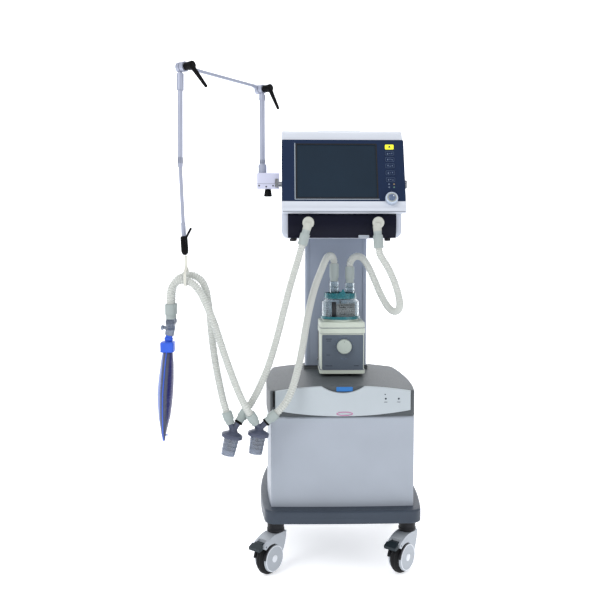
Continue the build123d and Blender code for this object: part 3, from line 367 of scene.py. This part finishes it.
# ---------------------------------------------------------------- hoses, at their real length
HOSES = {
    "hose_1": [(-118, -186, 977), (-131, -188, 931), (-153, -203, 862), (-174, -222, 780),
               (-196, -240, 695), (-219, -255, 622), (-243, -270, 569), (-262, -279, 532),
               (-281, -288, 505)],
    "hose_2": [(-12, -20, 918), (-12, -20, 927), (-16, -25, 938), (-23, -34, 944), (-31, -44, 944),
               (-38, -53, 937), (-46, -63, 922), (-58, -80, 894), (-73, -103, 860), (-88, -135, 815),
               (-101, -172, 765), (-113, -208, 705), (-124, -238, 650), (-137, -264, 600),
               (-152, -283, 556), (-171, -293, 520), (-195, -297, 499)],
    "hose_3": [(38, -20, 908), (38, -20, 920), (44, -25, 934), (55, -34, 942), (67, -44, 942),
               (78, -53, 934), (88, -62, 918), (100, -72, 893), (114, -84, 858), (127, -95, 825),
               (136, -105, 806), (147, -118, 787), (158, -132, 776), (169, -147, 775), (175, -161, 784),
               (176, -171, 800), (172, -178, 820), (164, -183, 847), (153, -187, 876),
               (141, -188, 903), (127, -189, 925), (116, -189, 942), (110, -188, 955),
               (109, -187, 968)],
    "hose_4": [(-336, -304, 505), (-344, -303, 529), (-355, -298, 579), (-367, -292, 640),
               (-377, -286, 709), (-382, -281, 770), (-388, -277, 821), (-394, -275, 856),
               (-407, -274, 879), (-428, -273, 892), (-451, -273, 893), (-475, -273, 881),
               (-488, -272, 858), (-491, -272, 832), (-491, -272, 812)],
    "hose_5": [(-269, -323, 503), (-280, -330, 523), (-299, -331, 562), (-318, -329, 612),
               (-336, -325, 662), (-353, -320, 714), (-370, -315, 767), (-389, -311, 809),
               (-405, -309, 843), (-422, -307, 866), (-442, -306, 878), (-463, -306, 879),
               (-480, -307, 870), (-489, -308, 852), (-491, -308, 831), (-491, -308, 812)],
}
RIB_PITCH = 0.0068
RIB_STEPS = 8
GROOVE_R = 0.0088
RIDGE = 0.0025
AROUND = 22


def centreline(name, route):
    """The points of the smooth line through a hose's route."""
    curve = bpy.data.curves.new(name + "_line", "CURVE")
    curve.dimensions = "3D"
    curve.resolution_u = 24
    spline = curve.splines.new("NURBS")
    spline.points.add(len(route) - 1)
    for point, place in zip(spline.points, route):
        point.co = (*[c * MM for c in place], 1)
    spline.order_u = 3
    spline.use_endpoint_u = True
    holder = bpy.data.objects.new(name + "_line", curve)
    mesh = bpy.data.meshes.new_from_object(holder)
    points = [v.co.copy() for v in mesh.vertices]
    bpy.data.meshes.remove(mesh)
    bpy.data.objects.remove(holder)
    return points


def spaced(points, step):
    """The line's points again, evenly spaced, with the total length."""
    total = sum((b - a).length for a, b in zip(points, points[1:]))
    count = max(8, round(total / step))
    out, at, i = [points[0]], 0.0, 0
    for k in range(1, count):
        target = total * k / count
        while at + (points[i + 1] - points[i]).length < target:
            at += (points[i + 1] - points[i]).length
            i += 1
        span = points[i + 1] - points[i]
        out.append(points[i] + span * ((target - at) / span.length))
    return out + [points[-1]], total


def corrugated(name, route):
    """A ribbed hose wall along its line: rounded ridges with narrow grooves."""
    points, total = spaced(centreline(name, route), RIB_PITCH / RIB_STEPS)
    side = None
    rings = []
    for k, point in enumerate(points):
        ahead = points[min(k + 1, len(points) - 1)] - points[max(k - 1, 0)]
        ahead.normalize()
        if side is None:
            side = ahead.orthogonal().normalized()
        side = (side - ahead * side.dot(ahead)).normalized()
        other = ahead.cross(side)
        wave = 0.5 + 0.5 * math.cos(math.tau * k / RIB_STEPS)
        radius = GROOVE_R + RIDGE * wave ** 0.6
        rings.append([point + (side * math.cos(math.tau * i / AROUND)
                               + other * math.sin(math.tau * i / AROUND)) * radius for i in range(AROUND)])
    hose = keep(bpy.data.objects.new(name + "_ribbed", skin(name, rings)), "hose_white", "machine")
    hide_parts(name)


for name, route in HOSES.items():
    corrugated(name, route)

# ---------------------------------------------------------------- display unit
TILT = math.radians(19)
FACE_UP = Vector((0, math.sin(TILT), math.cos(TILT)))
FACE_OUT = Vector((0, -math.cos(TILT), math.sin(TILT)))


def on_face(u, v, w=0.0):
    """A drawing plane on the display's sloping face, u across, v up and w out of it, in mm."""
    origin = Vector((8, -165, 1073)) + Vector((u, 0, 0)) + FACE_UP * v + FACE_OUT * w
    return axes_at(origin, (1, 0, 0), FACE_OUT)


SCREEN_U, SCREEN_V, SCREEN_W, SCREEN_H = -20.0, 135.0, 246.0, 178.0
SCREEN_LEFT = SCREEN_U - SCREEN_W / 2
SCREEN_LOW = SCREEN_V - SCREEN_H / 2
plate("screen_gasket", rounded(SCREEN_W + 2, SCREEN_H + 2, 2), on_face(SCREEN_U, SCREEN_V), -1.5, -0.1,
      "dark_gap", bevel=0.3, hole=rounded(SCREEN_W - 5, SCREEN_H - 5, 1.5))
# Pale strips along the screen's left and lower edges: painted highlight where the bevel catches the light.
plate("screen_highlight_left", rounded(2.6, SCREEN_H + 6, 1.0, 3), on_face(SCREEN_LEFT - 3.2, SCREEN_V), -1.0, 0.5,
      "light_edge", bevel=0.5)
plate("screen_highlight_low", rounded(SCREEN_W + 8, 2.2, 0.9, 3), on_face(SCREEN_U, SCREEN_LOW - 3.0), -1.0, 0.5,
      "light_edge", bevel=0.5)
plate("screen_active", rounded(SCREEN_W - 14, SCREEN_H - 12, 1.5), on_face(SCREEN_U, SCREEN_V), -2.55, -2.3,
      "screen_glass", bevel=0.1)

KEY_U = 142.0
for k, v in enumerate((192, 172.5, 151.5, 128.5, 106)):
    plate(f"key_rim_{k}", rounded(27, 14.2, 2.6), on_face(KEY_U, v), 0.45, 0.9, "key_rim",
          bevel=0.15, hole=rounded(25.4, 12.6, 2.0))
    for n, (du, wide, tall) in enumerate(((-6, 3.2, 4.6), (0.5, 4.6, 1.4), (7, 2.6, 3.4))):
        plate(f"key_mark_{k}_{n}", rounded(wide, tall, 0.6, 2), on_face(KEY_U + du, v + (k + n) % 3 - 1),
              0.45, 0.75,
              "pale_print", bevel=0)
plate("alarm_mark", [(-4.2, -3), (4.2, -3), (2.6, 0.6), (1.4, 3.4), (-1.4, 3.4), (-2.6, 0.6)],
      on_face(KEY_U, 213.5), 2.4, 2.8, "dark_print", "alarm_key", bevel=0.1)
for k, (u, v, lamp) in enumerate(((137, 92, "pale_print"), (152, 92, "amber_lamp"), (137, 82, "pale_print"),
                                  (152, 82, "green_lamp"))):
    turned(f"lamp_{k}", [(2.4, -0.6), (2.4, 0.1), (1.5, 0.8), (0.01, 1.1)], on_face(u, v), lamp,
           steps=20)
turned("encoder_grip", [(18.6, 2), (19.2, 3), (19.2, 11.5), (18.4, 13)], on_face(KEY_U, 43), "encoder_blue",
       "encoder", 96, flutes=24, depth=0.7)
turned("encoder_ring", [(14.5, 15.4), (14.2, 16.0), (11.8, 16.3), (11.2, 15.5)], on_face(KEY_U, 43),
       "port_shade",
       "encoder")
turned("encoder_cap", [(11, 15.4), (10.4, 16.4), (7.5, 17.6), (4, 18.3), (0.01, 18.5)], on_face(KEY_U, 43),
       "encoder_cap", "encoder")
turned("encoder_dimple", [(2.2, 0.4), (2.0, 0.9), (0.8, 1.1), (0.01, 1.1)], on_face(KEY_U + 4.6, 47, 17.0),
       "casing_white", "encoder", 20)
plate("frame_seam", rounded(371, 1.4, 0.5, 2), on_face(0, 14.4), -0.4, 0.5, "seam_grey",
      bevel=0)
plate("bezel_seam", rounded(371, 0.9, 0.4, 2), on_face(0, 36.7), -1.0, 0.12, "seam_grey",
      bevel=0)
plate("lip_shadow", rounded(366, 2.2, 0.8, 2), on_face(0, 2.2), 4.6, 5.4, "seam_grey",
      bevel=0.2)
plate("handle_pad", rounded(133, 74, 10), axes_at((1.5, 4, 1331), (1, 0, 0), (0, 0, 1)), -1.5, 3.4,
      "pad_green",
      bevel=1.4)
plate("handle_pad_seam", rounded(139, 80, 13), axes_at((1.5, 4, 1331), (1, 0, 0), (0, 0, 1)), -0.5, 0.35,
      "seam_grey",
      bevel=0, hole=rounded(133.4, 74.4, 10))
for k, (x, z) in enumerate(((-170, 1090), (186, 1090), (-170, 1150), (186, 1150))):
    screw(f"back_screw_{k}", (x, 84.2, z), (0, 1, 0), 3.6)
for side, x in ((-1, -178), (1, 194)):
    place = axes_at((x + side * 0.2, -10, 1240), (0, 1, 0), (side, 0, 0))
    for k in range(7):
        plate(f"side_vent_{side}_{k}", rounded(2.6, 44, 1.2, 3, centre=(k * 8 - 24, 0)), place, -0.6,
              0.25, "dark_gap",
              bevel=0)

# ---------------------------------------------------------------- gas module, ports and column
roll = [(-150 - 9.2 * math.sin(math.pi * k / 14) + 5 * (k / 14) ** 2, 1066 - 62 * k / 14) for k in range(15)]
panel = [(y, z) for y, z in roll] + [(y + 4, z) for y, z in reversed(roll)]
plate("module_panel", panel, Matrix.Translation((-0.074, 0, 0)) @ Matrix(((0, 0, 1, 0), (1, 0, 0, 0),
                                                                          (0, 1, 0, 0),
      (0, 0, 0, 1))), 0, 155, "module_panel", bevel=0.6)
plate("module_tab", rounded(32, 9, 2), axes_at((68, -148.5, 1002.5), (1, 0, 0), (0, -1, 0)), 0, 4.5,
      "cabinet_grey",
      bevel=0.6)
for k, (x, y) in enumerate(((-142, -128), (142, -128), (-142, 140), (142, 140))):
    turned(f"module_foot_{k}", [(9.5, 0), (9.5, -6.5), (8.2, -8.6), (0.01, -8.8)],
           axes_at((x, y, 998), (1, 0, 0),
           (0, 0, 1)), "socket_black", steps=28)
for name, x in (("left", -100), ("right", 107)):
    place = axes_at((x, -190, 1043), (1, 0, 0), (0, -1, 0))
    turned(f"port_ring_{name}", [(16.9, -7), (17.4, -6), (17.4, -2), (16.6, -1)], place, "port_grey")
    turned(f"port_cap_{name}", [(8.4, -0.5), (8.4, 0.8), (7.2, 1.4), (6.6, 0.9), (3.4, 0.7), (2.6, 1.3),
                                (0.01, 1.4)],
           place, "port_shade")
for k, x in enumerate((-57, 61)):
    screw(f"column_screw_{k}", (x, 89.8, 596), (0, -1, 0), 4.2)
# A dark strip along the column's foot: painted shadow where the column meets the cover, not a separate part.
plate("column_foot_shadow", rounded(212, 4, 1.5, 3, centre=(0, 0)), axes_at((2, 88.6, 573), (1, 0, 0),
                                                                     (0, -1, 0)), -1, 1.4,
      "dark_gap", bevel=0.3)

# ---------------------------------------------------------------- humidifier and its chamber
dial_place = axes_at((16, -80.6, 661), (1, 0, 0), (0, -1, 0))
turned("dial_grip", [(22.6, 1), (23.4, 2), (23.4, 9), (22.2, 11)], dial_place, "dial_grey", "dial",
       96,
       flutes=28, depth=0.8)
turned("dial_face", [(15, 12.8), (14.4, 13.5), (0.01, 13.8)], dial_place, "dial_grey", "dial")
plate("dial_pointer", rounded(1.8, 10, 0.8, 3, centre=(0, 12)), dial_place, 12.6, 13.5, "dark_print", "dial",
      bevel=0.2)
for k in range(11):
    a = math.radians(-132 + 26.4 * k)
    x, z = 16 + 29 * math.sin(a), 661 + 29 * math.cos(a)
    place = axes_at((x, -79.9, z), (math.cos(a), 0, -math.sin(a)), (0, -1, 0))
    plate(f"dial_tick_{k}", rounded(1.3, 4.4, 0.5, 2), place, -0.2, 0.25, "pale_print",
          bevel=0)
for k, side in enumerate((-1, 1)):
    place = axes_at((16 + side * 5.2, -79.9, 622), (1, 0, side * 0.42), (0, -1, 0))
    plate(f"panel_chevron_{k}", rounded(12.5, 1.8, 0.7, 2), place, -0.2, 0.25, "pale_print",
          bevel=0)
for k, (x, z, wide) in enumerate(((-32, 684, 18), (-32, 678, 14), (-34, 634, 11), (-32, 600, 22),
                                  (54, 600, 16))):
    plate(f"panel_line_{k}", rounded(wide, 2.0, 0.6, 2), axes_at((x, -79.9, z), (1, 0, 0), (0, -1, 0)),
          -0.2, 0.22,
          "dark_print", bevel=0)
for k, z in enumerate((587, 702, 719)):
    plate(f"casing_seam_{k}", rounded(142.6, 141.6, 12.4), axes_at((11, -10, z), (1, 0, 0), (0, 0, 1)),
          -0.7, 0.7,
          "seam_grey", bevel=0, hole=rounded(136, 135, 11))
base = axes_at((8, -20, 0), (1, 0, 0), (0, 0, 1))
turned("heater_plate", [(56, 747.2), (56, 748.6), (55, 749.4), (0.01, 749.4)], base, "heater",
       steps=56)
turned("water", [(55.8, 749.6), (55.8, 767), (54.8, 768), (0.01, 768)], base, "water",
       steps=56)
turned("float_guide", [(19, 768.5), (19, 776), (17, 778), (4, 779), (3, 800), (0.01, 801)], base,
       "connector_clear",
       steps=36)
turned("lid_disc", [(49.5, 808.3), (49.5, 811), (47, 812), (0.01, 812.4)], base, "chamber_clear",
       steps=56)


def wall_patch(name, start, end, low_z, high_z, material):
    """A thin printed area that follows the chamber's round wall."""
    steps = max(2, int((end - start) / 4))
    outline = [(59.35 * math.sin(math.radians(start + (end - start) * k / steps)),
                -59.35 * math.cos(math.radians(start + (end - start) * k / steps))) for k in range(steps + 1)]
    outline += [(59.75 * math.sin(math.radians(end - (end - start) * k / steps)),
                 -59.75 * math.cos(math.radians(end - (end - start) * k / steps))) for k in range(steps + 1)]
    plate(name, outline, base, low_z, high_z, material, bevel=0)


wall_patch("level_band", -31, -17, 752, 800, "print_black")
wall_patch("label_area", -16, 46, 754, 795, "print_smoke")
for k, (start, end, z, tall) in enumerate(((-10, 44, 789, 2.4), (-10, 44, 775, 1.6), (-8, 12, 783, 4),
                                           (16, 40, 783, 3),
                                           (-8, 40, 769, 2.2), (-6, 18, 762, 3), (24, 42, 762, 2))):
    wall_patch(f"label_line_{k}", start, end, z - tall / 2, z + tall / 2, "print_black")
for k in range(8):
    wall_patch(f"level_tick_{k}", -52, -46 if k % 2 else -42, 755 + 5.6 * k, 756.4 + 5.6 * k, "print_black")
for k in range(10):
    plate(f"lid_rib_{k}", rounded(3.2, 13, 1.2, 3), axes_at(
        Vector((8, -20, 817.5)) + Vector((math.sin(math.tau * (k + 0.5) / 10),
                                          -math.cos(math.tau * (k + 0.5) / 10), 0)) * 50.4,
        (math.cos(math.tau * (k + 0.5) / 10), math.sin(math.tau * (k + 0.5) / 10), 0),
        (math.sin(math.tau * (k + 0.5) / 10), -math.cos(math.tau * (k + 0.5) / 10),
         0)), -0.8, 0.9, "collar_teal",
        bevel=0.4)
for name, x in (("left", -12), ("right", 38)):
    stem = axes_at((x, -20, 0), (1, 0, 0), (0, 0, 1))
    for k, z in enumerate((820, 832, 844)):
        turned(f"chamber_ring_{name}_{k}", [(14.8, z - 1.6), (16.2, z - 1), (16.2, z + 1),
                                            (14.8, z + 1.6)], stem,
               "chamber_clear", steps=36)

# ---------------------------------------------------------------- arm
tip_start, tip_end = Vector((-453, -289, 1000)), Vector((-450, -290, 949))
tip_dir = (tip_end - tip_start).normalized()
turned("end_clamp_cover", [(6.6, -2), (9.6, 0), (10.2, 3), (10.2, 40), (8.6, 46.5), (4.6, 50.6),
                           (0.01, 51.8)],
       axes_at(tip_start, (1, 0, 0), tip_dir), "knob_black", "drop", 36)
for k, (x, z) in enumerate(((-248, 1160), (-226, 1157), (-205, 1160))):
    turned(f"block_dot_{k}", [(2.6, -0.3), (2.4, 0.5), (1.2, 0.8), (0.01, 0.8)],
           axes_at((x, -65, z), (1, 0, 0), (0, -1, 0)), "dark_gap", steps=20)
plate("block_split", rounded(68, 0.9, 0.3, 2), axes_at((-220, -65, 1166), (1, 0, 0), (0, -1, 0)), -0.2, 0.25,
      "seam_grey", bevel=0)
turned("post_band", [(8.1, -6), (9.0, -5), (9.0, 5), (8.1, 6)],
       axes_at((-238, -40, 1236), (1, 0, 0), (0, 0, 1)),
       "steel_dark", "post", 32)
drop_top = Vector((-458.4, -287.2, 1467))
drop_way = (Vector((-461, -288, 1194)) - drop_top).normalized()
turned("drop_band", [(6.9, 246), (7.7, 247), (7.7, 262), (6.9, 263)], axes_at(drop_top, (1, 0, 0), drop_way),
       "steel_dark", "drop", 32)

# ---------------------------------------------------------------- circuit fittings
for side, joint, tilt, hoses in (("left", (-317, -305, 452), 13, ((-281, -288, 505), (-336, -304, 505))),
                                 ("right", (-243.5, -305, 457), 9, ((-195, -297, 499), (-269, -323, 503)))):
    axis = Vector((math.sin(math.radians(tilt)), 0, math.cos(math.radians(tilt))))
    place = axes_at(joint, (1, 0, 0), axis)
    turned(f"trap_rim_{side}", [(29.7, -20.5), (30.4, -19.4), (30.4, -12.6), (29.7, -11.5)], place,
           "trap_head_slate",
           steps=96, flutes=24, depth=0.8)
    turned(f"trap_dome_{side}", [(27, -11.2), (22, -7), (15, -4), (12.5, -3)], place, "trap_head_slate",
           steps=48)
    for k in range(3):
        z = -32 - 12 * k
        turned(f"cup_ring_{side}_{k}", [(21.4 - 0.04 * 12 * k, z - 0.9), (22.0 - 0.04 * 12 * k, z),
                                        (21.4 - 0.04 * 12 * k,
                                         z + 0.9)], place, "trap_cup_smoke", f"cup_{side}",
               48)
    turned(f"cup_tube_{side}", [(4.5, -62), (5.5, -60), (5.5, -26), (4.5, -24.5)], place, "trap_head_slate",
           f"cup_{side}", 24)
    mouth = Vector(hoses[0])
    way = (mouth - Vector(joint)).normalized()
    turned(f"trap_seal_{side}", [(9.6, -3), (12.6, -2), (12.6, 3), (9.6, 4)],
           axes_at(Vector(joint) + way * 26, (0, 1, 0), way), "knob_black", steps=36)
for k, y in enumerate((-272, -308)):
    place = axes_at((-491, y, 0), (1, 0, 0), (0, 0, 1))
    turned(f"limb_collar_{k}", [(12.1, 756), (13.6, 757), (13.6, 766), (12.1, 767)], place, "connector_clear",
           steps=36)
turned("side_port_cap", [(5.2, 0), (7.2, 1), (7.2, 7), (5.0, 8), (0.01, 8)],
       axes_at((-512, -290, 744), (0, 1, 0),
       (-1, 0, 0.15)), "connector_clear", steps=32)
turned("neck_ring", [(10.2, -4), (12.2, -3), (12.2, 4), (10.2, 5)], axes_at((-499, -290, 712), (1, 0, 0),
       (0.187, 0, 1)), "lung_block_blue", steps=36)

# The test lung: a flat silicone bag with fine ribs, a seam round its edge and a pin at its tip.
LUNG = ((676, -502, 28, 44), (660, -503, 32, 64), (640, -504, 36, 82), (600, -507, 41, 98),
        (560, -510, 43, 105),
        (525, -511.5, 39, 95), (490, -513, 32, 78), (465, -514.5, 22,
                                                     58), (440, -516, 13, 36), (426, -516, 8, 18),
        (420, -516, 6, 12))
LUNG_TALL = LUNG[0][0] - LUNG[-1][0]
LUNG_Y = -290
LUNG_STEPS = 128
LUNG_AROUND = 40
RIPPLE = 0.45


def lung_at(z):
    """The bag's centre and its two widths at a height, in mm."""
    for (z1, x1, w1, d1), (z0, x0, w0, d0) in zip(LUNG, LUNG[1:]):
        if z >= z0:
            t = (z1 - z) / (z1 - z0)
            return x1 + (x0 - x1) * t, w1 + (w0 - w1) * t, d1 + (d0 - d1) * t
    return LUNG[-1][1:]


rings = []
levels = [LUNG[0][0] - LUNG_TALL * k / LUNG_STEPS for k in range(LUNG_STEPS + 1)]
for k, z in enumerate(levels):
    x, wide, deep = lung_at(z)
    fade = min(1, k / 12, (LUNG_STEPS - k) / 14)
    ripple = RIPPLE * fade * math.cos(math.tau * k / 4)
    turns = [math.tau * i / LUNG_AROUND for i in range(LUNG_AROUND)]
    rings.append([((x + (wide / 2 + ripple) * math.cos(a)) * MM,
                   (LUNG_Y + (deep / 2 + ripple) * math.sin(a)) * MM, z * MM) for a in turns])
bag = keep(bpy.data.objects.new("lung_bag", skin("lung_bag", rings)), "lung_bag", "machine")
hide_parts("test_lung")
for side in (-1, 1):
    rings = []
    for z in levels[::4]:
        x, wide, deep = lung_at(z)
        edge = LUNG_Y + side * (deep / 2 - 0.8)
        rings.append([((x + dx) * MM, (edge + side * dy) * MM, z * MM)
                      for dx, dy in ((-1.6, 0), (-1.2, 3.4), (1.2, 3.4), (1.6, 0))])
    name = f"lung_seam_{side}"
    keep(bpy.data.objects.new(name, skin(name, rings)), "lung_block_blue", "machine", 0.3 * MM)
turned("lung_pin", [(1.4, -9), (2.0, -8), (2.0, 8), (1.4, 9), (0.01, 9.2)],
       axes_at((-513, -290, 436), (0, 0, 1),
       (1, 0, 0)), "lung_block_blue", steps=20)
turned("lung_tail", [(3.4, 6), (4.6, 3), (4.2, -2), (2.4, -5), (0.01, -5.6)],
       axes_at((-516, -290, 424), (1, 0, 0),
       (0, 0, 1)), "lung_block_blue", steps=28)

# ---------------------------------------------------------------- trolley
plate("top_strip", rounded(48, 13, 2.5), axes_at((4.6, -237.6, 556), (1, 0, 0), (0, -1, 0.12)), -1.5, 2.6,
      "blue_plate", bevel=0.5)
place = axes_at((4.6, -247.3, 485), (1, 0, 0), (0, -1, 0))
oval = [(24 * math.cos(math.tau * k / 48), 6.2 * math.sin(math.tau * k / 48)) for k in range(48)]
inner = [(21.6 * math.cos(math.tau * k / 48), 4.2 * math.sin(math.tau * k / 48)) for k in range(48)]
plate("badge_rim", oval, place, -0.4, 0.6, "rose_plate", bevel=0.15, hole=inner)
plate("badge_face", inner, place, -0.4, 0.35, "fascia_white", bevel=0)
for k, (x, z, r) in enumerate(((123, 541.6, 1.9), (124.7, 529, 3.0), (163, 529, 3.0))):
    turned(f"fascia_lamp_{k}", [(r, -0.6), (r, 0.2), (r * 0.6, 0.8), (0.01, 1.0)],
           axes_at((x, -247.2, z), (1, 0, 0),
           (0, -1, 0)), "dark_print", steps=20)
for k, x in enumerate((124.7, 163)):
    plate(f"fascia_line_{k}", rounded(10, 1.6, 0.6, 2), axes_at((x, -247.2, 519), (1, 0, 0), (0, -1, 0)),
          -0.2, 0.2,
          "dark_print", bevel=0)
plate("fascia_slit", rounded(4.5, 46, 1.6, 3), axes_at((-203.5, -236.8, 527), (1, 0, 0), (0, -1, 0)),
      -2.0, 0.8,
      "dark_gap", bevel=0.2)
for k, (x, z) in enumerate(((-150, 300), (150, 300), (-150, 440), (150, 440))):
    screw(f"rear_screw_{k}", (x, 215.2, z), (0, 1, 0), 4)

# ---------------------------------------------------------------- casters
for corner, (x, y) in {"front_left": (-198, -205), "front_right": (198, -205), "back_left": (-198, 185),
                       "back_right": (198, 185)}.items():
    heading = math.radians(230 if corner.startswith("front") else 75)
    trail = Vector((math.cos(heading), math.sin(heading), 0))
    hub = Vector((x, y, 50)) + trail * 30
    axle = trail.cross(Vector((0, 0, 1)))
    for side in (-1, 1):
        out = axle * side
        place = axes_at(hub + out * 22, trail, out)
        turned(f"hub_cap_{corner}_{side}", [(11, -0.3), (10.6, 1.1), (8.4, 1.9), (4.2, 1.5), (0.01, 1.5)],
               place,
               "pale_hub", f"fork_{corner}", 40)
        turned(f"cover_ring_{corner}_{side}", [(38.5, -0.6), (38.2, 0.5), (36.2, 0.7), (35.8, -0.2)], place,
               "pale_hub", f"fork_{corner}", 56)
        arc = [(43.5 * math.cos(math.radians(8 + 84 * k / 14)),
                43.5 * math.sin(math.radians(8 + 84 * k / 14)))
               for k in range(15)]
        up = Vector((0, 0, 1))
        outer = [(1.062 * a, 1.062 * b) for a, b in arc]
        inside = [(0.938 * a, 0.938 * b) for a, b in reversed(arc)]
        frame_z = trail.cross(up)
        slot_place = Matrix.Translation((hub + out * 19) * MM) @ Matrix((trail, up,
                                                                         frame_z)).transposed().to_4x4()
        plate(f"hood_slot_{corner}_{side}", outer + inside, slot_place, -3.3, 3.3, "socket_black",
              f"fork_{corner}",
              bevel=0.3)
    for k in range(2):
        turned(f"tyre_groove_{corner}_{k}", [(49.5, -0.8), (49.9, 0), (49.5, 0.8)], axes_at(
            hub + axle * (4.5 if k else -4.5), trail, axle), "dark_gap", f"wheel_{corner}", 64)
    turned(f"socket_ring_{corner}", [(25.2, 124), (26.2, 125), (26.2, 131), (25.2, 132)],
           axes_at((x, y, 0), (1, 0, 0), (0, 0, 1)), "socket_black", steps=40)

# ---------------------------------------------------------------- studio floor and backdrop
stage_mesh = bpy.data.meshes.new("backdrop")
work = bmesh.new()
lines = []
section = [(-8, 0), (2.2, 0)] + [(2.2 + 1.6 * math.sin(math.radians(a)),
                                  1.6 - 1.6 * math.cos(math.radians(a)))
                                 for a in range(10, 91, 10)] + [(3.8, 7)]
for y, z in section:
    lines.append([work.verts.new((x, y, z)) for x in (-9, 9)])
for a, b in zip(lines, lines[1:]):
    work.faces.new((a[0], a[1], b[1], b[0]))
work.to_mesh(stage_mesh)
work.free()
for face in stage_mesh.polygons:
    face.use_smooth = True
backdrop = bpy.data.objects.new("backdrop", stage_mesh)
stage_mesh.materials.append(surface("studio paper", (246, 247, 249), 0.9, grain=40, bump=0.0, spread=0.01,
                                    wear=1.5,
                                     glow=0.55))
bpy.context.scene.collection.objects.link(backdrop)
